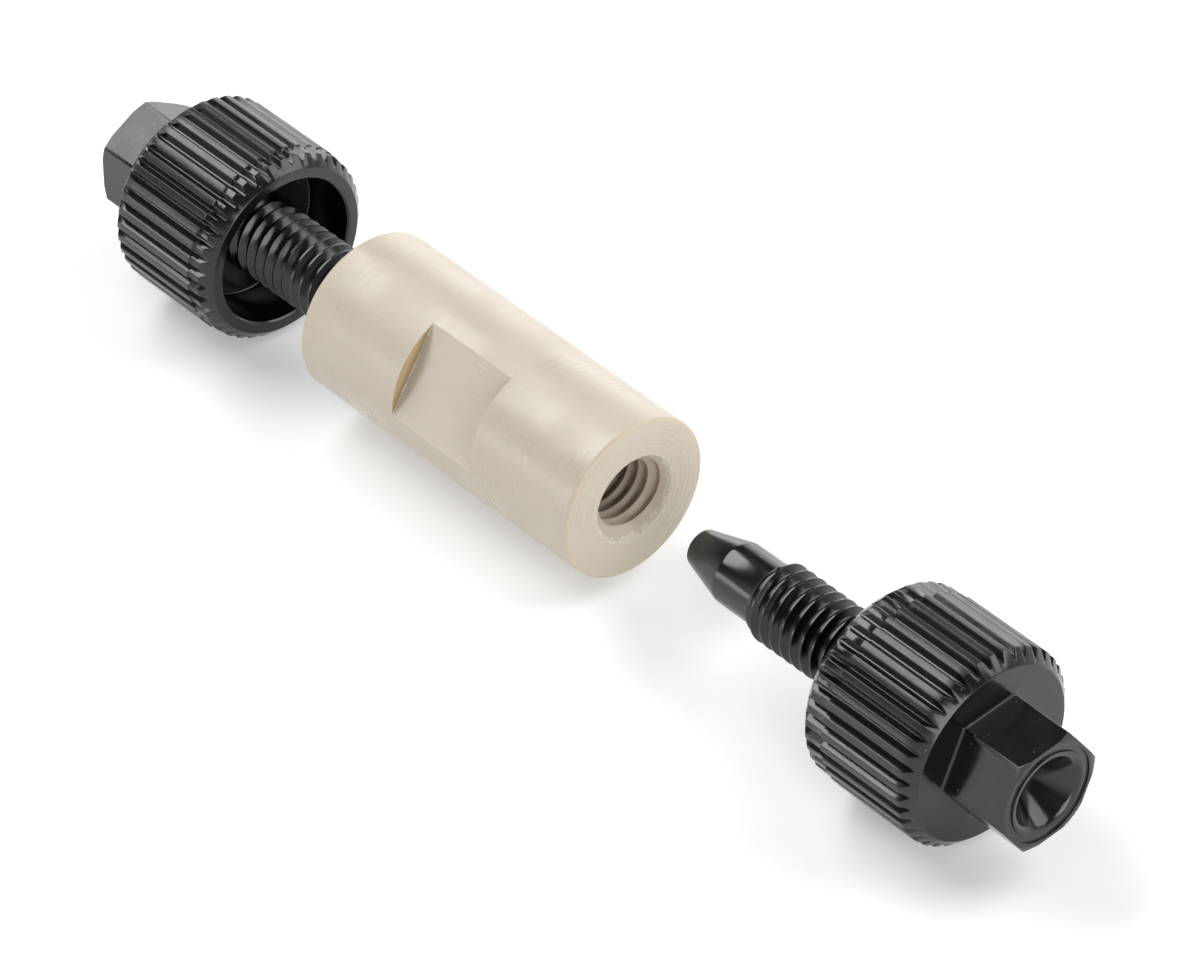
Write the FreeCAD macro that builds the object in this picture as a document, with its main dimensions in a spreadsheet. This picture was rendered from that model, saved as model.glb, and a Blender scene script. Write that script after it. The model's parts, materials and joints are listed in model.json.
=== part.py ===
import FreeCAD, Part
import math
import os
import Sketcher

# Finger-tight union: a turned plastic body with a coned threaded port in each end, and two
# knurled one-piece fittings. The left fitting is started in its port and the right one lies
# apart, in line with the open port. Sizes are in mm. +X runs along the common axis towards
# the right fitting, +Z is up, and Z = 0 is the surface that both knurled heads rest on.

os.makedirs("parts", exist_ok=True)
doc = FreeCAD.newDocument("finger_tight_union")
sheet = doc.addObject("Spreadsheet::Sheet", "sizes")

# Driving sizes: each is set here once
DRIVING = {
    # union body
    "body_diameter": 10.1,
    "body_length": 22.9,
    "body_edge": 0.22,
    "flat_across": 8.2,
    "flat_length": 6.7,
    "flat_roll": 57.5,
    "port_depth": 10.2,
    "port_thread_depth": 5.6,
    "port_mouth": 0.28,
    "through_diameter": 0.5,
    # fitting stem
    "thread_diameter": 4.76,
    "thread_reach": 8.5,
    "thread_lead": 0.35,
    "nose_diameter": 3.86,
    "nose_reach": 14.3,
    "cone_length": 3.05,
    "cone_angle": 15.0,
    "tip_round": 0.22,
    # fitting head
    "head_diameter": 12.2,
    "head_length": 8.7,
    "head_bevel": 0.74,
    "recess_diameter": 9.28,
    "recess_depth": 3.5,
    "recess_lip": 0.1,
    "tooth_count": 40,
    "tooth_depth": 0.45,
    "tooth_root_width": 0.12,
    "tooth_flank_angle": 26.0,
    # hexagon drive and tube inlet
    "hex_across": 6.35,
    "hex_length": 4.3,
    "hex_turn": 6.0,
    "hex_foot": 0.18,
    "hex_crown_diameter": 6.6,
    "hex_crown_angle": 30.0,
    "ring_inner_diameter": 5.2,
    "ring_outer_diameter": 6.0,
    "ring_depth": 0.12,
    "tube_bore": 1.7,
    "funnel_diameter": 4.4,
    "funnel_angle": 32.0,
    # fits and layout
    "fit_clearance": 0.07,
    "left_insertion": 6.9,
    "left_turn_teeth": 4,
    "tip_gap": 5.5,
}

# Sizes that follow from the driving ones
DERIVED = {
    "body_radius": "body_diameter / 2",
    "body_half": "body_length / 2",
    "thread_radius": "thread_diameter / 2",
    "nose_radius": "nose_diameter / 2",
    "tip_radius": "nose_radius - cone_length * tan(cone_angle * 1 deg)",
    "cone_reach": "nose_reach - cone_length",
    "head_radius": "head_diameter / 2",
    "face_radius": "head_radius - head_bevel",
    "recess_radius": "recess_diameter / 2",
    "tooth_root_radius": "head_radius - tooth_depth",
    "tooth_cut_radius": "head_radius + tooth_depth",
    "tooth_spread": "tan(tooth_flank_angle * 1 deg)",
    "tooth_gap_half": "tooth_root_width / 2 + tooth_depth * tooth_spread",
    "hex_end": "head_length + hex_length",
    "hex_corner": "hex_across / 2 / cos(30 deg)",
    "crown_radius": "hex_crown_diameter / 2",
    "crown_drop": "(hex_corner - crown_radius) * tan(hex_crown_angle * 1 deg)",
    "bore_radius": "tube_bore / 2",
    "funnel_radius": "funnel_diameter / 2",
    "funnel_depth": "(funnel_radius - bore_radius) / tan(funnel_angle * 1 deg)",
    "port_radius": "thread_radius + fit_clearance",
    "port_mouth_radius": "port_radius + port_mouth",
    "neck_radius": "nose_radius + fit_clearance",
    "seat_radius": "tip_radius + fit_clearance",
    "port_floor": "body_half - port_depth",
    "seat_start": "port_floor + cone_length",
    "port_thread_end": "body_half - port_thread_depth",
    "fitting_length": "nose_reach + hex_end",
    "overall_length": "2 * fitting_length - left_insertion + body_length + tip_gap",
    "right_face": "overall_length / 2 - hex_end",
    "body_centre": "overall_length / 2 - fitting_length - tip_gap - body_half",
    "axis_height": "sqrt(head_radius ^ 2 - tooth_gap_half ^ 2)",
}

for row, (name, value) in enumerate(list(DRIVING.items()) + list(DERIVED.items()), start=1):
    text = str(value) if name in DRIVING else "=" + value
    sheet.set(f"A{row}", name)
    sheet.set(f"B{row}", text)
    sheet.setAlias(f"B{row}", name)
doc.recompute()


def bound(text):
    """Turn plain size names into an expression that reads the sheet."""
    for name in sorted(list(DRIVING) + list(DERIVED), key=len, reverse=True):
        text = " ".join("sizes." + word if word == name else word for word in text.split(" "))
    return text


def value_of(text):
    """The present value of an expression in the sheet's sizes."""
    return float(sheet.evalExpression(bound(text)))


def new_body(label):
    body = doc.addObject("PartDesign::Body", label)
    body.Label = label
    return body


def sketch_on(body, plane_role, name, offset=None):
    """A sketch on one of the body's own planes, moved along its normal by an expression."""
    plane = next(item for item in body.Origin.OriginFeatures if item.Role == plane_role)
    sketch = body.newObject("Sketcher::SketchObject", name)
    sketch.AttachmentSupport = (plane, [""])
    sketch.MapMode = "FlatFace"
    if offset:
        sketch.setExpression("AttachmentOffset.Base.z", bound(offset))
    return sketch


def pin_point(sketch, line, corner):
    """Hold the first point of a line at its two expressions."""
    for axis, kind, text in ((-2, "DistanceX", corner[0]), (-1, "DistanceY", corner[1])):
        if text == "0":
            sketch.addConstraint(Sketcher.Constraint("PointOnObject", line, 1, axis))
            continue
        index = sketch.addConstraint(
            Sketcher.Constraint(kind, -1, 1, line, 1, value_of(text)))
        sketch.setExpression(f"Constraints[{index}]", bound(text))


def draw_outline(sketch, corners):
    """A closed outline of straight lines whose corners are held by expressions."""
    points = [FreeCAD.Vector(value_of(x), value_of(y), 0) for x, y in corners]
    count = len(points)
    for line in range(count):
        sketch.addGeometry(Part.LineSegment(points[line], points[(line + 1) % count]))
    for line in range(count):
        sketch.addConstraint(Sketcher.Constraint("Coincident", line, 2, (line + 1) % count, 1))
    for line, corner in enumerate(corners):
        pin_point(sketch, line, corner)


def turned(body, kind, name, corners):
    """Revolve an outline of (station, radius) corners about the body's X axis."""
    before = body.Shape.Volume if body.Tip else 0.0
    sketch = sketch_on(body, "XZ_Plane", name + "_outline")
    draw_outline(sketch, corners)
    feature = body.newObject("PartDesign::" + kind, name)
    feature.Profile = sketch
    feature.ReferenceAxis = (sketch, ["H_Axis"])
    feature.Angle = 360
    doc.recompute()
    grew = body.Shape.Volume - before
    if grew * (1 if kind == "Revolution" else -1) <= 0:
        raise RuntimeError(name + " changed the volume the wrong way")
    return feature


def must_cut(body, feature, before):
    doc.recompute()
    if not body.Shape.Volume < before:
        raise RuntimeError(feature.Name + " removed nothing")


def mirrored(body, source, plane_role, name):
    """Copy a cut to the other side of one of the body's own planes."""
    before = body.Shape.Volume
    feature = body.newObject("PartDesign::Mirrored", name)
    feature.Originals = [source]
    plane = next(item for item in body.Origin.OriginFeatures if item.Role == plane_role)
    feature.MirrorPlane = (plane, [""])
    body.Tip = feature
    must_cut(body, feature, before)


def round_edges(shape, station, radius):
    """Names of the full circles of one radius at one station on the X axis."""
    names = []
    for number, edge in enumerate(shape.Edges, start=1):
        curve = edge.Curve
        if not isinstance(curve, Part.Circle) or abs(curve.Radius - radius) > 1e-4:
            continue
        if abs(curve.Center.x - station) < 1e-4:
            names.append(f"Edge{number}")
    return names


def straight_edges_at(shape, station):
    """Names of the straight edges that lie in the plane at one station on the X axis."""
    names = []
    for number, edge in enumerate(shape.Edges, start=1):
        ends = [vertex.Point.x for vertex in edge.Vertexes]
        if isinstance(edge.Curve, Part.Line) and all(abs(x - station) < 1e-4 for x in ends):
            names.append(f"Edge{number}")
    return names


def dressed(body, kind, name, edges, size_name, size):
    """A fillet or chamfer on named edges of the body's present shape."""
    previous = body.Tip
    feature = body.newObject("PartDesign::" + kind, name)
    feature.Base = (previous, edges)
    feature.setExpression(size_name, bound(size))
    body.Tip = feature
    doc.recompute()
    return feature


def build_union_body():
    """Turned barrel with a coned threaded port in each end and two milled wrench flats."""
    body = new_body("union_body")
    turned(body, "Revolution", "barrel", [
        ("- body_half", "0"),
        ("- body_half", "body_radius - body_edge"),
        ("- body_half + body_edge", "body_radius"),
        ("body_half - body_edge", "body_radius"),
        ("body_half", "body_radius - body_edge"),
        ("body_half", "0"),
    ])
    # the port is bored plain to the thread's outer size plus its clearance
    port = turned(body, "Groove", "port", [
        ("port_floor", "0"),
        ("port_floor", "seat_radius"),
        ("seat_start", "neck_radius"),
        ("port_thread_end", "neck_radius"),
        ("port_thread_end", "port_radius"),
        ("body_half - port_mouth", "port_radius"),
        ("body_half", "port_mouth_radius"),
        ("body_half", "0"),
    ])
    mirrored(body, port, "YZ_Plane", "port_pair")
    before = body.Shape.Volume
    hole_sketch = sketch_on(body, "YZ_Plane", "through_outline")
    circle = hole_sketch.addGeometry(Part.Circle(
        FreeCAD.Vector(0, 0, 0), FreeCAD.Vector(0, 0, 1), value_of("through_diameter / 2")))
    hole_sketch.addConstraint(Sketcher.Constraint("Coincident", circle, 3, -1, 1))
    index = hole_sketch.addConstraint(Sketcher.Constraint(
        "Diameter", circle, value_of("through_diameter")))
    hole_sketch.setExpression(f"Constraints[{index}]", bound("through_diameter"))
    hole = body.newObject("PartDesign::Pocket", "through_hole")
    hole.Profile = hole_sketch
    hole.Type = "ThroughAll"
    hole.Midplane = True
    must_cut(body, hole, before)
    before = body.Shape.Volume
    flat_sketch = sketch_on(body, "XY_Plane", "flat_outline", offset="flat_across / 2")
    draw_outline(flat_sketch, [
        ("- flat_length / 2", "- body_radius"),
        ("flat_length / 2", "- body_radius"),
        ("flat_length / 2", "body_radius"),
        ("- flat_length / 2", "body_radius"),
    ])
    flat = body.newObject("PartDesign::Pocket", "wrench_flat")
    flat.Profile = flat_sketch
    flat.Type = "ThroughAll"
    flat.Reversed = True
    must_cut(body, flat, before)
    mirrored(body, flat, "XY_Plane", "wrench_flat_pair")
    body.setExpression("Placement.Base.x", bound("body_centre"))
    body.setExpression("Placement.Base.z", bound("axis_height"))
    body.setExpression("Placement.Rotation.Roll", bound("flat_roll * 1 deg"))
    return body


def add_hexagon(body):
    """Hexagon drive behind the head, with a foot fillet and a coned crown."""
    sketch = sketch_on(body, "YZ_Plane", "hex_outline", offset="head_length")
    draw_outline(sketch, [
        (f"hex_corner * cos({60 * side} deg + hex_turn * 1 deg)",
         f"hex_corner * sin({60 * side} deg + hex_turn * 1 deg)")
        for side in range(6)
    ])
    pad = body.newObject("PartDesign::Pad", "hexagon")
    pad.Profile = sketch
    pad.setExpression("Length", bound("hex_length"))
    doc.recompute()
    foot = straight_edges_at(pad.Shape, value_of("head_length"))
    dressed(body, "Fillet", "hexagon_foot", foot, "Radius", "hex_foot")
    turned(body, "Groove", "hexagon_crown", [
        ("hex_end", "crown_radius"),
        ("hex_end - crown_drop", "hex_corner"),
        ("hex_end - crown_drop", "hex_corner + head_bevel"),
        ("hex_end", "hex_corner + head_bevel"),
    ])


def add_knurl(body):
    """Straight knurl: one tooth gap cut along the head and repeated round it."""
    before = body.Shape.Volume
    sketch = sketch_on(body, "YZ_Plane", "tooth_gap_outline")
    wide = "tooth_root_width / 2 + 2 * tooth_depth * tooth_spread"
    draw_outline(sketch, [
        ("tooth_root_radius", "- tooth_root_width / 2"),
        ("tooth_cut_radius", f"- ( {wide} )"),
        ("tooth_cut_radius", wide),
        ("tooth_root_radius", "tooth_root_width / 2"),
    ])
    gap = body.newObject("PartDesign::Pocket", "tooth_gap")
    gap.Profile = sketch
    gap.Type = "ThroughAll"
    gap.Midplane = True
    must_cut(body, gap, before)
    before = body.Shape.Volume
    knurl = body.newObject("PartDesign::PolarPattern", "knurl")
    knurl.Originals = [gap]
    axis = next(item for item in body.Origin.OriginFeatures if item.Role == "X_Axis")
    knurl.Axis = (axis, [""])
    knurl.Angle = 360
    knurl.setExpression("Occurrences", bound("tooth_count"))
    body.Tip = knurl
    must_cut(body, knurl, before)


def build_fitting(label):
    """One moulding: coned nose, threaded stem, knurled head, hexagon drive, tube way.

    Its own X axis starts at the head's thread-side face and points towards the hexagon.
    """
    body = new_body(label)
    blank = turned(body, "Revolution", "blank", [
        ("- nose_reach", "0"),
        ("- nose_reach", "tip_radius"),
        ("- cone_reach", "nose_radius"),
        ("- thread_reach", "nose_radius"),
        ("- thread_reach + thread_lead", "thread_radius"),
        ("0", "thread_radius"),
        ("0", "face_radius"),
        ("head_bevel", "head_radius"),
        ("head_length - head_bevel", "head_radius"),
        ("head_length", "face_radius"),
        ("head_length", "0"),
    ])
    tip = round_edges(blank.Shape, - value_of("nose_reach"), value_of("tip_radius"))
    dressed(body, "Fillet", "tip_edge", tip, "Radius", "tip_round")
    add_hexagon(body)
    # the recess leaves the stem standing in a deep ring
    recess = turned(body, "Groove", "recess", [
        ("0", "thread_radius"),
        ("recess_depth", "thread_radius"),
        ("recess_depth", "recess_radius"),
        ("0", "recess_radius"),
    ])
    lip = round_edges(recess.Shape, 0.0, value_of("recess_radius"))
    dressed(body, "Chamfer", "recess_mouth", lip, "Size", "recess_lip")
    turned(body, "Groove", "tube_way", [
        ("- nose_reach", "0"),
        ("- nose_reach", "bore_radius"),
        ("hex_end - funnel_depth", "bore_radius"),
        ("hex_end", "funnel_radius"),
        ("hex_end", "0"),
    ])
    turned(body, "Groove", "end_ring", [
        ("hex_end - ring_depth", "ring_inner_diameter / 2"),
        ("hex_end - ring_depth", "ring_outer_diameter / 2"),
        ("hex_end", "ring_outer_diameter / 2"),
        ("hex_end", "ring_inner_diameter / 2"),
    ])
    add_knurl(body)
    return body


def build_right_fitting():
    """The loose fitting, lying on its knurl with its nose towards the open port."""
    body = build_fitting("right_fitting")
    body.setExpression("Placement.Base.x", bound("right_face"))
    body.setExpression("Placement.Base.z", bound("axis_height"))
    return body


def build_left_fitting():
    """The fitting that is started in the left port, turned end for end."""
    body = build_fitting("left_fitting")
    body.setExpression("Placement.Base.x", bound("- right_face"))
    body.setExpression("Placement.Base.z", bound("axis_height"))
    body.setExpression("Placement.Rotation.Yaw", "180 deg")
    body.setExpression(
        "Placement.Rotation.Roll", bound("- left_turn_teeth * 360 deg / tooth_count"))
    return body


bodies = [build_union_body(), build_left_fitting(), build_right_fitting()]
doc.recompute()

for item in doc.Objects:
    if "Invalid" in item.State or "Error" in item.State:
        raise RuntimeError(item.Name + " did not rebuild: " + ", ".join(item.State))
for body in bodies:
    shape = body.Shape
    if shape.isNull() or not shape.isValid() or len(shape.Solids) != 1:
        raise RuntimeError(body.Label + " is not one valid solid")
    box = shape.BoundBox
    print(body.Label, "volume", round(shape.Volume, 2), "faces", len(shape.Faces),
          "x", round(box.XMin, 3), round(box.XMax, 3), "z", round(box.ZMin, 4), round(box.ZMax, 3))
for body in bodies:
    body.Shape.exportStep(os.path.join("parts", body.Label + ".step"))
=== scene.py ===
import json
import math

import bmesh
import bpy
from mathutils import Matrix, Vector, noise


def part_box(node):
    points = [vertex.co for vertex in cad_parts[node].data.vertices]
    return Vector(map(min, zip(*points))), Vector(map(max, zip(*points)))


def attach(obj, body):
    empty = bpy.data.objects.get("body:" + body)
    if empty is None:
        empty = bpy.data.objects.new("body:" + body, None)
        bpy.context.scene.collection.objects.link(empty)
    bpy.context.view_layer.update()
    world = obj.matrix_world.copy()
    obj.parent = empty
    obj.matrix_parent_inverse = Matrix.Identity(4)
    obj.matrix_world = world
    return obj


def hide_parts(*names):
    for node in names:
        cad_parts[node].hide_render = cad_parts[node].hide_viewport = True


# Finger-tight tubing union: a turned beige body between two knurled black fittings, the left
# one started in its port and the right one drawn out. Meshes are modelled in millimetres
# about the X axis and set down in the row frame, in metres, when they are finished.

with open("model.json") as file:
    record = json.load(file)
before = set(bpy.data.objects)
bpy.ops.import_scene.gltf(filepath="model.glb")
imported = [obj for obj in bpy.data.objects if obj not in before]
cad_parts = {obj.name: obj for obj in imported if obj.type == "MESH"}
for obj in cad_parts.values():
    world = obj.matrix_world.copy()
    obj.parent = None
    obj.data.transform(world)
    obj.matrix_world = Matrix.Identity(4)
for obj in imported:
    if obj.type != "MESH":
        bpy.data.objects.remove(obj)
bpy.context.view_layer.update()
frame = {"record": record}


# Union body. A bar of beige engineering plastic, turned to 10.1 mm, with two wrench flats
# milled across its middle. Each end is drilled, coned for the nose of a fitting and tapped,
# and a fine hole through the web between them joins the two ports.
MM = 0.001
low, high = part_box("union_body")
axis_height = (low.z + high.z) / 2 / MM
body_middle = (low.x + high.x) / 2 / MM
body_half = (high.x - low.x) / 2 / MM
body_radius = 5.05
body_edge = 0.22
flat_reach = 4.1
flat_half = 3.35
flat_facing = math.radians(147.5)
PITCH = 0.794
FLANK = math.tan(math.radians(30))
THREAD_TIP = 0.12
port_depth = 10.2
port_thread_depth = 5.6
port_mouth = 2.73
port_root = 2.42
port_crest = 2.02
mouth_lip = 0.015
seat_length = 3.05
seat_radius = 1.183
web_hole = 0.25
web_half = 0.5
hex_end = 13.0
head_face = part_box("right_fitting")[1].x / MM - hex_end
left_turn = math.radians(-36)
stem_phase = -8.1
full_slide = next(joint["range_m"][1] / MM for joint in frame["record"]["behaviour"]["joints"]
                  if joint["name"] == "right_screw")
# each port is cut so that the crests of its own fitting lie in its roots, on the left with the
# fitting as it stands and on the right with it slid all the way in
left_port_phase = head_face + body_middle + stem_phase + PITCH * (0.5 - left_turn / math.tau)
right_port_phase = head_face - body_middle - full_slide + stem_phase + PITCH / 2


def rounded(corners, steps=4):
    """Points of a 2-D outline whose inner corners (x, radius, ease) are eased by arcs."""
    points = [Vector(corners[0][:2])]
    for before, corner, after in zip(corners, corners[1:], corners[2:]):
        here = Vector(corner[:2])
        back = (Vector(before[:2]) - here).normalized()
        ahead = (Vector(after[:2]) - here).normalized()
        half = back.angle(ahead) / 2
        centre = here + (back + ahead).normalized() * corner[2] / math.sin(half)
        start = here + back * corner[2] / math.tan(half) - centre
        end = here + ahead * corner[2] / math.tan(half) - centre
        points += [centre + start.slerp(end, step / steps).normalized() * corner[2]
                   for step in range(steps + 1)]
    return points + [Vector(corners[-1][:2])]


def reach(point):
    """How far a point stands from the X axis."""
    return math.hypot(point.co.y, point.co.z)


def put(point, x, radius):
    """Move a point along X and in or out from the axis."""
    outward = Vector((0, point.co.y, point.co.z)).normalized()
    point.co = outward * radius + Vector((x, 0, 0))


def carry(mesh, ring, stations):
    """Extrude a closed ring of edges through stations, each (x, radius) or a rule for a point."""
    for station in stations:
        grown = bmesh.ops.extrude_edge_only(mesh, edges=ring)["geom"]
        ring = [part for part in grown
                if isinstance(part, bmesh.types.BMEdge) and part.is_boundary]
        for point in {point for edge in ring for point in edge.verts}:
            if callable(station):
                station(point)
            else:
                put(point, *station)
    return ring


def open_ring(mesh, x):
    """The open edges that lie in the plane at x."""
    return [edge for edge in mesh.edges
            if edge.is_boundary and all(abs(point.co.x - x) < 1e-3 for point in edge.verts)]


def sweep_thread(mesh, crest, root, phase, start, end, steps=72):
    """Sweep a turn of right-handed thread, repeat it along X, and cut it square at both ends."""
    rise = crest - root
    inner = THREAD_TIP / 2
    outer = inner + abs(rise) * FLANK
    half = [(0, crest), (inner * 0.7, crest), (inner + 0.012, crest - rise * 0.07),
            (outer - 0.05, root + rise * 0.13), (outer + 0.02, root + rise * 0.015),
            (PITCH / 2, root)]
    outline = [(-x, radius) for x, radius in reversed(half[1:])] + half
    shift = phase + math.floor((start - 2 * PITCH - phase) / PITCH) * PITCH
    points = [mesh.verts.new((x + shift, radius, 0)) for x, radius in outline]
    edges = [mesh.edges.new(pair) for pair in zip(points, points[1:])]
    bmesh.ops.spin(mesh, geom=points + edges, cent=(0, 0, 0), axis=(1, 0, 0),
                   dvec=(PITCH / steps, 0, 0), angle=math.tau, steps=steps)
    turn = mesh.verts[:] + mesh.edges[:] + mesh.faces[:]
    for copy in range(1, math.ceil((end - start) / PITCH) + 4):
        grown = bmesh.ops.duplicate(mesh, geom=turn)["geom"]
        moved = [part for part in grown if isinstance(part, bmesh.types.BMVert)]
        bmesh.ops.translate(mesh, verts=moved, vec=(copy * PITCH, 0, 0))
    bmesh.ops.remove_doubles(mesh, verts=mesh.verts, dist=1e-4)
    for x, side in ((start, -1), (end, 1)):
        bmesh.ops.bisect_plane(mesh, geom=mesh.verts[:] + mesh.edges[:] + mesh.faces[:],
                               dist=1e-4, plane_co=(x, 0, 0), plane_no=(side, 0, 0),
                               clear_outer=True)


def repeat_round(mesh, points, edges, count):
    """Copy a stretch of outline round the axis until it closes into a ring."""
    bmesh.ops.spin(mesh, geom=points + edges, cent=(0, 0, 0), axis=(1, 0, 0), use_duplicate=True,
                   angle=math.tau * (count - 1) / count, steps=count - 1)


def merge_in(mesh, other):
    """Add another mesh's geometry to this one."""
    spare = bpy.data.meshes.new("spare")
    other.to_mesh(spare)
    mesh.from_mesh(spare)
    bpy.data.meshes.remove(spare)


def set_down(mesh, name, body, finish, place):
    """Turn a finished millimetre mesh into the piece that stands for a CAD node."""
    bmesh.ops.remove_doubles(mesh, verts=mesh.verts, dist=2e-4)
    bmesh.ops.recalc_face_normals(mesh, faces=mesh.faces)
    bmesh.ops.transform(mesh, matrix=Matrix.Scale(MM, 4) @ place, verts=mesh.verts)
    data = bpy.data.meshes.new(name)
    mesh.to_mesh(data)
    mesh.free()
    data.shade_smooth()
    data.set_sharp_from_angle(angle=math.radians(40))
    data.materials.append(finish)
    piece = bpy.data.objects.new(name, data)
    bpy.context.scene.collection.objects.link(piece)
    piece.modifiers.new("even_flats", "WEIGHTED_NORMAL").keep_sharp = True
    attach(piece, body)
    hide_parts(body)


def tapped_port(phase):
    """One port in its own mesh, from its mouth at the end face down to the middle of the web."""
    mesh = bmesh.new()
    chamfer_foot = port_root + 0.03
    mouth = body_half - (port_mouth - chamfer_foot)
    bottom = body_half - port_thread_depth
    floor = body_half - port_depth
    sweep_thread(mesh, port_crest, port_root, phase, bottom, mouth)
    for point in mesh.verts:
        radius = max(reach(point), chamfer_foot + point.co.x - mouth)
        put(point, point.co.x, min(radius, port_crest + max(0, point.co.x - bottom - 0.1)))
    carry(mesh, open_ring(mesh, bottom), rounded(
        [(bottom, port_crest, 0), (floor + seat_length, port_crest - 0.02, 0.1),
         (floor, seat_radius, 0.05), (floor, web_hole, 0.05), (web_half, web_hole, 0)])[1:])
    carry(mesh, open_ring(mesh, mouth), [(body_half - 0.05, port_mouth - 0.02),
                                         (body_half - mouth_lip, port_mouth + 0.01)])
    return mesh


def barrel():
    """The outside of the bar with its eased ends and its two milled flats."""
    mesh = bmesh.new()
    half = math.acos(flat_reach / body_radius)
    start = Matrix.Rotation(flat_facing - half, 3, "X") @ Vector((-body_half, body_radius, 0))
    tip = mesh.verts.new(start)
    for turn, steps in ((2 * half, 40), (math.pi - 2 * half, 60)) * 2:
        grown = bmesh.ops.spin(mesh, geom=[tip], cent=(0, 0, 0), axis=(1, 0, 0),
                               angle=turn, steps=steps)["geom_last"]
        tip = next(part for part in grown if isinstance(part, bmesh.types.BMVert))
    bmesh.ops.remove_doubles(mesh, verts=mesh.verts, dist=1e-4)

    def milled(x):
        """The ring carried on to x, with the two flats cut into it."""
        def rule(point):
            across = point.co.y * math.cos(flat_facing) + point.co.z * math.sin(flat_facing)
            put(point, x, min(body_radius, flat_reach * reach(point) / max(abs(across), 1e-6)))
        return rule

    end = rounded([(-body_half, port_mouth + 0.05, 0), (-body_half, body_radius, body_edge),
                   (0, body_radius, 0)], steps=5)[:-1]
    for point in mesh.verts:
        put(point, *end[0])
    carry(mesh, mesh.edges[:], end[1:] + [
        (-flat_half, body_radius), milled(-flat_half), milled(flat_half), (flat_half, body_radius)]
        + [(-x, radius) for x, radius in reversed(end)])
    bmesh.ops.remove_doubles(mesh, verts=mesh.verts, dist=1e-4)
    sharp = [edge for edge in mesh.edges if edge.is_manifold and edge.calc_face_angle() > 0.5
             and all(abs(point.co.x) < flat_half + 0.01 for point in edge.verts)]
    bmesh.ops.bevel(mesh, geom=sharp, offset=0.035, segments=2, affect="EDGES", profile=0.5,
                    material=-1)
    return mesh


def union_mesh():
    """The bar and its two ports, joined into one closed surface."""
    mesh = tapped_port(right_port_phase)
    other = tapped_port(left_port_phase)
    bmesh.ops.rotate(other, verts=other.verts, cent=(0, 0, 0),
                     matrix=Matrix.Rotation(math.pi, 3, "Z"))
    merge_in(mesh, other)
    other.free()
    bmesh.ops.bridge_loops(mesh, edges=open_ring(mesh, web_half) + open_ring(mesh, -web_half))
    shell = barrel()
    merge_in(mesh, shell)
    shell.free()
    for side in (-1, 1):
        bmesh.ops.bridge_loops(mesh, edges=open_ring(mesh, side * body_half)
                               + open_ring(mesh, side * (body_half - mouth_lip)))
    return mesh


def node(tree, kind, inputs=None, **settings):
    """Add a shader node. An input is given a value, or another node's socket to link to."""
    made = tree.nodes.new("ShaderNode" + kind)
    for name, value in settings.items():
        setattr(made, name, value)
    for name, value in (inputs or {}).items():
        if isinstance(value, bpy.types.NodeSocket):
            tree.links.new(value, made.inputs[name])
        else:
            made.inputs[name].default_value = value
    return made


def maths(tree, operation, *values):
    """The result of one step of arithmetic on one to three values."""
    return node(tree, "Math", dict(enumerate(values)), operation=operation).outputs["Value"]


def product(tree, *values):
    """Several values multiplied together."""
    result = values[0]
    for value in values[1:]:
        result = maths(tree, "MULTIPLY", result, value)
    return result


def stacked(tree, value, share, below):
    """A share of one value laid over another."""
    return maths(tree, "MULTIPLY_ADD", value, share, below)


def ranged(tree, value, start, end, first=0.0, last=1.0):
    """The value carried over from the range start to end to the range first to last."""
    return node(tree, "MapRange", {"Value": value, "From Min": start, "From Max": end,
                                   "To Min": first, "To Max": last}).outputs["Result"]


def band(tree, value, middle, half, soft):
    """A mask that is 1 where value lies within half of middle and fades to 0 over soft more."""
    off = maths(tree, "ABSOLUTE", maths(tree, "SUBTRACT", value, middle * MM))
    return ranged(tree, off, half * MM, (half + soft) * MM, 1.0, 0.0)


def mottle(tree, place, scale, detail):
    """Cloudy noise through the whole piece."""
    return node(tree, "TexNoise", {"Vector": place.outputs["Object"], "Scale": scale,
                                   "Detail": detail}).outputs["Fac"]


def tinted(tree, colour, mask, tint, share=1.0):
    """The colour changed to a tint, or to a share of it, where the mask is 1."""
    factor = mask if share == 1.0 else product(tree, mask, share)
    mixed = node(tree, "Mix", {"Factor": factor, "A": colour, "B": (*tint, 1)}, data_type="RGBA")
    return mixed.outputs["Result"]


def new_group(name, given, result):
    """A shader node group with one output, and its input and output nodes."""
    group = bpy.data.node_groups.new(name, "ShaderNodeTree")
    for socket, kind in given:
        group.interface.new_socket(socket, in_out="INPUT", socket_type="NodeSocket" + kind)
    group.interface.new_socket(result, in_out="OUTPUT", socket_type="NodeSocketFloat")
    return group, group.nodes.new("NodeGroupInput"), group.nodes.new("NodeGroupOutput")


def speck_group():
    """Small scattered specks: dust on the black plastic, darker grains in the beige one."""
    group, given, result = new_group("specks", [("Grain", "Float"), ("Share", "Float")], "Mask")
    place = node(group, "TexCoord")
    cells = node(group, "TexVoronoi", {"Vector": place.outputs["Object"],
                                       "Scale": given.outputs["Grain"]})
    chance = node(group, "SeparateColor", {"Color": cells.outputs["Color"]})
    near = ranged(group, cells.outputs["Distance"], 0.08, 0.3, 1.0, 0.0)
    chosen = maths(group, "LESS_THAN", chance.outputs["Red"], given.outputs["Share"])
    group.links.new(product(group, near, chosen), result.inputs["Mask"])
    return group


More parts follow.
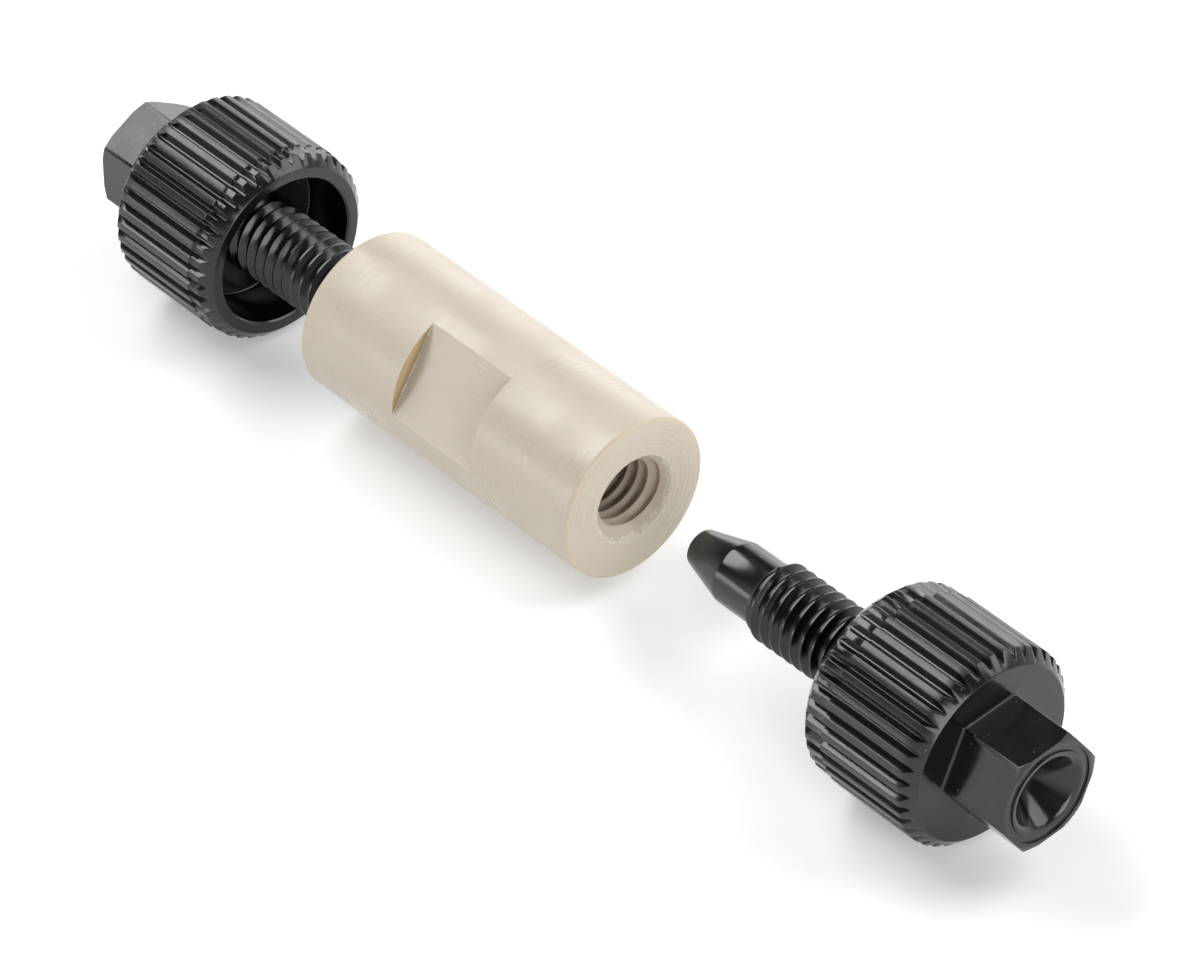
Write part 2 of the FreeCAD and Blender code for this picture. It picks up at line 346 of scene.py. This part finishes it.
def streak_group():
    """Fine lines that run across a given direction, stronger in some patches than in others."""
    group, given, result = new_group("streaks", [("Across", "Vector"), ("Fineness", "Float")],
                                     "Height")
    place = node(group, "TexCoord")
    lines = node(group, "TexNoise", {"Vector": given.outputs["Across"],
                                     "Scale": given.outputs["Fineness"],
                                     "Detail": 4.0, "Roughness": 0.65})
    strength = ranged(group, mottle(group, place, 260.0, 2.0), 0.35, 0.7, 0.7, 1.0)
    group.links.new(product(group, lines.outputs["Fac"], strength), result.inputs["Height"])
    return group


specks = speck_group()
streaks = streak_group()


def turned_plastic():
    """Beige plastic with the fine lines that a lathe leaves round it and on its end faces."""
    material = bpy.data.materials.new("turned_beige_plastic")
    material.use_nodes = True
    tree = material.node_tree
    shader = tree.nodes["Principled BSDF"]
    place = node(tree, "TexCoord")
    centred = node(tree, "Mapping", {"Vector": place.outputs["Object"],
                                     "Location": (-body_middle * MM, 0, -axis_height * MM)})
    parts = node(tree, "SeparateXYZ", {"Vector": centred.outputs["Vector"]})
    section = node(tree, "CombineXYZ", {"Y": parts.outputs["Y"], "Z": parts.outputs["Z"]})
    radius = node(tree, "VectorMath", {0: section.outputs["Vector"]},
                  operation="LENGTH").outputs["Value"]
    along = maths(tree, "ABSOLUTE", parts.outputs["X"])
    facing = (0, math.cos(flat_facing), math.sin(flat_facing))
    off_axis = node(tree, "VectorMath", {0: centred.outputs["Vector"], 1: facing},
                    operation="DOT_PRODUCT")
    across = maths(tree, "ABSOLUTE", off_axis.outputs["Value"])

    # lathe lines, which stop at the milled flats, and wavy drag marks that lean off the axis
    drift = node(tree, "VectorMath", {0: centred.outputs["Vector"], "Scale": 0.012},
                 operation="SCALE")
    line = node(tree, "CombineXYZ", {"X": stacked(tree, radius, 1.3, parts.outputs["X"])})
    turned = node(tree, "VectorMath", {0: line.outputs["Vector"], 1: drift.outputs["Vector"]},
                  operation="ADD")
    marks = node(tree, "Group", {"Across": turned.outputs["Vector"], "Fineness": 4200.0},
                 node_tree=streaks)
    leaning = node(tree, "Mapping", {"Vector": centred.outputs["Vector"], "Scale": (0.16, 1, 1),
                                     "Rotation": (0, 0, math.radians(-14))})
    drags = node(tree, "TexNoise", {"Vector": leaning.outputs["Vector"], "Scale": 5200.0,
                                    "Detail": 3.0, "Roughness": 0.6, "Distortion": 0.7})
    worn = ranged(tree, mottle(tree, place, 170.0, 1.0), 0.44, 0.6)
    scuffs = product(tree, drags.outputs["Fac"], worn)
    milled = product(tree, band(tree, along, 0, flat_half, 0.02),
                     band(tree, across, flat_reach, 0.02, 0.02))
    bare = maths(tree, "SUBTRACT", 1.0, milled)
    marked = stacked(tree, scuffs, 0.9, product(tree, marks.outputs["Height"], bare))

    # the plastic itself; a painted yellowish glow at its end rims, standing in for light shining
    # through the thin edge; painted warm shade on the end walls of the flats, darker still in
    # their corners; and painted shade deep in the ports
    colour = tinted(tree, (0.58, 0.515, 0.414, 1), mottle(tree, place, 180.0, 3.0),
                    (0.615, 0.551, 0.449))
    grains = node(tree, "Group", {"Grain": 3200.0, "Share": 0.012}, node_tree=specks)
    colour = tinted(tree, colour, grains.outputs["Mask"], (0.33, 0.28, 0.22), 0.3)
    # painted glow: the end rims are tinted yellow to stand in for light passing through the thin
    # translucent edge
    rim = product(tree, band(tree, along, body_half, 0.03, 0.12),
                  band(tree, radius, body_radius, 0.05, 0.16))
    colour = tinted(tree, colour, rim, (0.64, 0.52, 0.34), 0.55)
    # painted shade: the end walls of the flats are tinted warm brown as if shaded, and the corner
    # where each wall meets its flat is darker still
    cut = product(tree, band(tree, along, flat_half, 0.02, 0.01),
                  band(tree, radius, 4.3, 0.7, 0.03), band(tree, across, 4.65, 0.5, 0.03))
    colour = tinted(tree, colour, cut, (0.47, 0.345, 0.19))
    corner = product(tree, cut, band(tree, across, flat_reach, 0.05, 0.5))
    colour = tinted(tree, colour, corner, (0.24, 0.155, 0.08), 0.8)
    # painted shade: the ports grow darker and browner the deeper they go
    port_shade = ranged(tree, radius, 2.72 * MM, 2.5 * MM)
    depth = ranged(tree, along, (body_half - 0.2) * MM, (body_half - 4.5) * MM, 0.25, 0.9)
    colour = tinted(tree, colour, product(tree, port_shade, depth), (0.36, 0.275, 0.19))

    # pale burrs at the mouth of each port and at the ends of the flats
    ragged = ranged(tree, mottle(tree, place, 5200.0, 3.0), 0.42, 0.62)
    mouth = product(tree, band(tree, along, body_half, 0.16, 0.15),
                    band(tree, radius, 2.66, 0.12, 0.1), ragged)
    brink = product(tree, band(tree, along, flat_half, 0.03, 0.02),
                    band(tree, across, 4.12, 0.04, 0.04), ragged)
    burr = maths(tree, "MAXIMUM", mouth, brink)
    colour = tinted(tree, colour, burr, (0.82, 0.79, 0.72), 0.6)

    relief = stacked(tree, burr, 1.5, stacked(tree, mottle(tree, place, 8000.0, 2.0), 0.3, marked))
    bump = node(tree, "Bump", {"Height": relief, "Strength": 1.0, "Distance": 0.00002})
    tree.links.new(colour, shader.inputs["Base Color"])
    tree.links.new(ranged(tree, marked, 0.3, 0.85, 0.25, 0.5), shader.inputs["Roughness"])
    tree.links.new(bump.outputs["Normal"], shader.inputs["Normal"])
    shader.inputs["IOR"].default_value = 1.55
    shader.inputs["Subsurface Weight"].default_value = 0.25
    shader.inputs["Subsurface Radius"].default_value = (1.0, 0.62, 0.32)
    shader.inputs["Subsurface Scale"].default_value = 0.0006
    return material


set_down(union_mesh(), "Union_body", "union_body", turned_plastic(),
         Matrix.Translation((body_middle, 0, axis_height)))


# Fittings. Each is one moulding in glossy black plastic: a rounded cone for the tube's end, a
# threaded stem that stands in a deep ring recess, a head with forty straight teeth, and a
# hexagon with a funnel for the tube. The stem screws into a port of the union body.
stem_crest = 2.38
stem_root = 1.945
nose_radius = 1.93
nose_edge = -11.25
nose_tip = -14.3
tip_radius = 1.113
thread_start = -8.5
recess_radius = 4.64
recess_depth = 3.5
head_radius = 6.1
face_radius = 5.36
head_length = 8.7
teeth = 40
tooth_depth = 0.45
tooth_ease = 0.05
tooth_flank = math.tan(math.radians(26))
root_half = 0.06
land_wobble = 0.003
tick_depth = 0.05
tick_turn = 0.003
first_row = 2.6
row_gap = 0.53
shoulder_ring = 4.5
hex_flat = 3.175
hex_turn = math.radians(6)
hex_ease = 0.12
hex_foot = 0.18
foot_step = 0.3927
crown_radius = 3.3
crown_slope = math.tan(math.radians(30))
end_ring_outer = 3.0
end_ring_inner = 2.6
end_ring_depth = 0.12
funnel_mouth = 2.26
funnel_depth = 2.16
tube_bore = 0.85
right_tick = 1.94
left_tick = 1.5


def add_stem(mesh):
    """The threaded stem and the nose. Returns the open rings in the bore and at its foot."""
    stem_end = recess_depth - 0.06
    run_out = 1.3
    sweep_thread(mesh, stem_crest, stem_root, stem_phase, thread_start, stem_end)
    for point in mesh.verts:
        lead = nose_radius + run_out * max(0, point.co.x - thread_start)
        foot = stem_crest - run_out * max(0, stem_end - point.co.x)
        put(point, point.co.x, max(min(reach(point), lead), min(foot, stem_crest)))
    inner = carry(mesh, open_ring(mesh, thread_start), rounded(
        [(thread_start, nose_radius, 0), (nose_edge, nose_radius, 0.8),
         (nose_tip, tip_radius, 0.25), (nose_tip, tube_bore, 0.05), (-1.0, tube_bore, 0)],
        steps=6)[1:])
    outer = carry(mesh, open_ring(mesh, stem_end), [(recess_depth - 0.02, stem_crest + 0.03)])
    return inner, outer


def add_head(mesh, tick):
    """The knurled head. Returns the open rings on its recess floor and by the hexagon."""
    root = head_radius - tooth_depth
    gap = root_half + tooth_depth * tooth_flank
    step = math.tau / teeth
    half = rounded([(0, root, 0), (root_half, root, tooth_ease), (gap, head_radius, tooth_ease),
                    (head_radius * step / 2, head_radius, 0)], steps=3)
    half = [(width / radius, radius) for width, radius in half]
    outline = half + [(step - angle, radius) for angle, radius in reversed(half[:-1])]
    first = tick + 0.06
    points = [mesh.verts.new((first, radius * math.cos(angle), radius * math.sin(angle)))
              for angle, radius in outline]
    edges = [mesh.edges.new(pair) for pair in zip(points, points[1:])]
    repeat_round(mesh, points, edges, teeth)
    fresh = [point for point in mesh.verts
             if abs(point.co.x - first) < 1e-5 and reach(point) > recess_radius]
    bmesh.ops.remove_doubles(mesh, verts=fresh, dist=1e-4)
    ring = [edge for edge in mesh.edges if edge.is_wire]

    def drawn(x, change=0.0, turn=0.0, rough=0.0):
        """The teeth carried on to x, their lands a little lower, turned or uneven."""
        def rule(point):
            radius = reach(point)
            share = max(0, (radius - root) / tooth_depth)
            wobble = noise.noise(Vector((x * 1.7, point.co.y * 3, point.co.z * 3))) * rough
            put(point, x, min(head_radius, radius + (change + wobble) * share))
            point.co = Matrix.Rotation(turn, 3, "X") @ point.co
        return rule

    def onto_bevel(face, side):
        """Where each line of the teeth meets the bevel at 45 degrees."""
        def rule(point):
            put(point, face + side * (reach(point) - face_radius), reach(point))
        return rule

    # the halves of the mould meet at the tick, a hair out of line with each other
    front = carry(mesh, ring, [
        drawn(tick + 0.03), drawn(tick + 0.02, -tick_depth),
        drawn(tick - 0.01, -tick_depth, turn=tick_turn),
        drawn(tick - 0.02, -0.01, turn=tick_turn),
        drawn(1.0, rough=land_wobble), onto_bevel(0, 1)])
    floor = carry(mesh, front, rounded(
        [(0.2, face_radius + 0.2, 0), (0, face_radius, 0.08), (0, recess_radius + 0.1, 0.03),
         (0.1, recess_radius, 0.03), (recess_depth, recess_radius, 0.15),
         (recess_depth, stem_crest + 0.07, 0)])[1:])
    rows = [drawn(first_row + row_gap * row, rough=land_wobble) for row in range(10)]
    back = carry(mesh, ring, rows + [onto_bevel(head_length, -1)])
    seat = carry(mesh, back, rounded(
        [(head_length - 0.2, face_radius + 0.2, 0), (head_length, face_radius, 0.1),
         (head_length - 0.01, shoulder_ring, 0)])[1:])
    bmesh.ops.bevel(mesh, geom=front + back, offset=0.03, segments=2, affect="EDGES",
                    profile=0.5, material=-1)
    return floor, seat


def add_hexagon(mesh):
    """The hexagon, its end ring and funnel. Returns the open rings at its foot and bore."""
    corner = hex_flat / math.cos(math.radians(30))
    turn = Matrix.Rotation(math.radians(30), 2)
    side = rounded([(*(turn.inverted() @ Vector((hex_flat, 0))), 0), (corner, 0, hex_ease),
                    (*(turn @ Vector((hex_flat, 0))), 0)], steps=4)
    base = head_length + hex_foot
    points = [mesh.verts.new(Matrix.Rotation(hex_turn, 3, "X") @ Vector((base, *place)))
              for place in side]
    edges = [mesh.edges.new(pair) for pair in zip(points, points[1:])]
    bmesh.ops.subdivide_edges(mesh, edges=[edges[0], edges[-1]], cuts=11)
    repeat_round(mesh, [point for point in mesh.verts if point.is_wire],
                 [edge for edge in mesh.edges if edge.is_wire], 6)
    bmesh.ops.remove_doubles(mesh, verts=[point for point in mesh.verts if point.is_wire],
                             dist=1e-4)
    ring = [edge for edge in mesh.edges if edge.is_wire]

    def spread(angle):
        """How far the moulded foot stands out from the hexagon at an angle of its arc."""
        return hex_foot * (1 - math.cos(max(0, angle)))

    def foot(angle):
        """The ring carried on down the arc of the foot, wider by what this step adds."""
        def rule(point):
            put(point, base - hex_foot * math.sin(angle),
                reach(point) + spread(angle) - spread(angle - foot_step))
        return rule

    def onto_crown(point):
        """Where each line of the hexagon's sides meets the cone of the crown."""
        drop = max(0, reach(point) - crown_radius) * crown_slope
        put(point, hex_end - drop, reach(point))

    def onto_end(point):
        """The round edge of the end face."""
        put(point, hex_end, min(reach(point), crown_radius))

    outer = carry(mesh, ring, [foot(foot_step * step) for step in range(1, 5)])
    crown = carry(mesh, ring, [onto_crown])
    rim = carry(mesh, crown, [onto_end])
    ring_floor = hex_end - end_ring_depth
    inner = carry(mesh, rim, rounded(
        [(hex_end, end_ring_outer + 0.1, 0), (hex_end, end_ring_outer, 0.02),
         (ring_floor, end_ring_outer - 0.03, 0.03), (ring_floor, end_ring_inner + 0.03, 0.03),
         (hex_end, end_ring_inner, 0.02), (hex_end, funnel_mouth, 0.5),
         (hex_end - funnel_depth, tube_bore, 0.15), (0, tube_bore, 0)]))
    return outer, inner


def fitting_mesh(tick):
    """A whole fitting, with the mould's parting line at its own station on the teeth."""
    mesh = bmesh.new()
    nose_bore, stem_foot = add_stem(mesh)
    floor, seat = add_head(mesh, tick)
    hex_base, funnel_bore = add_hexagon(mesh)
    for pair in (nose_bore + funnel_bore, stem_foot + floor, seat + hex_base):
        bmesh.ops.bridge_loops(mesh, edges=pair)
    bmesh.ops.remove_doubles(mesh, verts=mesh.verts, dist=1e-4)
    return mesh


def moulded_plastic():
    """Glossy black plastic: faint grain, drag lines along the teeth, a few specks of dust."""
    material = bpy.data.materials.new("moulded_black_plastic")
    material.use_nodes = True
    tree = material.node_tree
    shader = tree.nodes["Principled BSDF"]
    place = node(tree, "TexCoord")
    drawn = node(tree, "Mapping", {"Vector": place.outputs["Object"], "Scale": (0.04, 1, 1)})
    drag = node(tree, "Group", {"Across": drawn.outputs["Vector"], "Fineness": 9000.0},
                node_tree=streaks)
    dust = node(tree, "Group", {"Grain": 4200.0, "Share": 0.03}, node_tree=specks)
    grain = mottle(tree, place, 9000.0, 3.0)
    ripple = mottle(tree, place, 900.0, 2.0)
    centred = node(tree, "Mapping", {"Vector": place.outputs["Object"],
                                     "Location": (0, 0, -axis_height * MM), "Scale": (0, 1, 1)})
    radius = node(tree, "VectorMath", {0: centred.outputs["Vector"]},
                  operation="LENGTH").outputs["Value"]
    lands = band(tree, radius, head_radius, 0.04, 0.04)
    # painted sheen: the lands of the teeth are a little lighter than the rest, standing in for the
    # grey they reflect
    colour = tinted(tree, (0.0045, 0.0043, 0.0052, 1), lands, (0.018, 0.018, 0.02))
    colour = tinted(tree, colour, dust.outputs["Mask"], (0.22, 0.22, 0.23), 0.6)
    satin = stacked(tree, lands, 0.12, ranged(tree, ripple, 0.3, 0.7, 0.13, 0.2))
    relief = stacked(tree, drag.outputs["Height"], 0.8, stacked(tree, ripple, 1.0, grain))
    bump = node(tree, "Bump", {"Height": relief, "Strength": 0.5, "Distance": 0.000005})
    tree.links.new(colour, shader.inputs["Base Color"])
    tree.links.new(satin, shader.inputs["Roughness"])
    tree.links.new(bump.outputs["Normal"], shader.inputs["Normal"])
    shader.inputs["IOR"].default_value = 1.56
    shader.inputs["Specular Tint"].default_value = (0.94, 0.96, 1.0, 1)
    return material


black = moulded_plastic()
set_down(fitting_mesh(right_tick), "Right_fitting", "right_fitting", black,
         Matrix.Translation((head_face, 0, axis_height)))
set_down(fitting_mesh(left_tick), "Left_fitting", "left_fitting", black,
         Matrix.Translation((-head_face, 0, axis_height)) @ Matrix.Rotation(math.pi, 4, "Z")
         @ Matrix.Rotation(left_turn, 4, "X"))


# Studio. A white sheet to lie on, soft boxes all round with the main one high behind the left
# end, a wall that is pale near the ground and dim above, and the camera where the photograph
# was taken from.
sheet = bmesh.new()
bmesh.ops.create_grid(sheet, x_segments=1, y_segments=1, size=1.2)
floor_data = bpy.data.meshes.new("floor")
sheet.to_mesh(floor_data)
sheet.free()
floor = bpy.data.objects.new("floor", floor_data)
bpy.context.scene.collection.objects.link(floor)
paper = bpy.data.materials.new("white_sheet")
paper.use_nodes = True
tree = paper.node_tree
paper_shader = tree.nodes["Principled BSDF"]
paper_shader.inputs["Base Color"].default_value = (0.86, 0.86, 0.865, 1)
paper_shader.inputs["Roughness"].default_value = 0.9
paper_shader.inputs["Specular IOR Level"].default_value = 0.1
rays = node(tree, "LightPath")
seen = maths(tree, "MAXIMUM", rays.outputs["Is Camera Ray"], rays.outputs["Is Glossy Ray"])
seen = maths(tree, "MAXIMUM", seen, rays.outputs["Is Transmission Ray"])
glow = node(tree, "Emission", {"Color": (1, 1, 1, 1), "Strength": product(tree, seen, 0.3)})
both = node(tree, "AddShader", {0: paper_shader.outputs["BSDF"], 1: glow.outputs["Emission"]})
tree.links.new(both.outputs["Shader"], tree.nodes["Material Output"].inputs["Surface"])
floor_data.materials.append(paper)

world = bpy.data.worlds.new("studio")
bpy.context.scene.world = world
world.use_nodes = True
tree = world.node_tree
rays = node(tree, "LightPath")
sky = node(tree, "TexCoord")
heading = node(tree, "SeparateXYZ", {"Vector": sky.outputs["Generated"]})
wall = ranged(tree, heading.outputs["Z"], 0.12, 0.42, 1.0, 0.14)
strength = maths(tree, "MAXIMUM", rays.outputs["Is Camera Ray"], wall)
tree.nodes["Background"].inputs["Color"].default_value = (1, 1, 1, 1)
tree.links.new(strength, tree.nodes["Background"].inputs["Strength"])


lamp_distance = 0.5


def soft_box(name, direction, width, height, power):
    """A lamp that faces the middle of the object."""
    lamp = bpy.data.lights.new(name, "AREA")
    lamp.shape = "RECTANGLE"
    lamp.size = width
    lamp.size_y = height
    lamp.energy = power
    place = bpy.data.objects.new(name, lamp)
    bpy.context.scene.collection.objects.link(place)
    away = Vector(direction).normalized()
    place.matrix_world = (Matrix.Translation(away * lamp_distance)
                          @ away.to_track_quat("Z", "Y").to_matrix().to_4x4())


soft_box("key_box", (-0.585, -0.14, 0.80), 0.42, 0.2, 1.6)
soft_box("top_box", (0.38, 0.60, 0.70), 0.36, 0.36, 1.25)
soft_box("back_box", (-0.58, 0.80, 0.17), 0.36, 0.36, 0.65)
soft_box("front_box", (-0.585, -0.80, 0.06), 0.14, 0.14, 0.2)
soft_box("fill_box", (0.95, -0.16, 0.27), 0.3, 0.3, 1.15)

# the camera's place is in millimetres, its focal length and the photograph's width in pixels
focal_length = 7113
photo_width = 1200
around, above, roll = math.radians(48.89), math.radians(38.98), math.radians(-0.27)
camera_distance, move_right, move_up = 399.4, 1.548, 3.18
camera = bpy.data.cameras.new("camera")
camera.sensor_width = 36
camera.lens = 36 * focal_length / photo_width
camera.clip_start = 0.01
camera_place = bpy.data.objects.new("camera", camera)
bpy.context.scene.collection.objects.link(camera_place)
back = Vector((math.sin(around) * math.cos(above), -math.cos(around) * math.cos(above),
               math.sin(above)))
level = Vector((math.cos(around), math.sin(around), 0))
upright = back.cross(level)
right = level * math.cos(roll) + upright * math.sin(roll)
up = upright * math.cos(roll) - level * math.sin(roll)
stand = (back * camera_distance + right * move_right + up * move_up) * MM
camera_place.matrix_world = (Matrix.Translation(stand)
                             @ Matrix((right, up, back)).transposed().to_4x4())
bpy.context.scene.camera = camera_place
bpy.context.scene.view_settings.view_transform = "Standard"
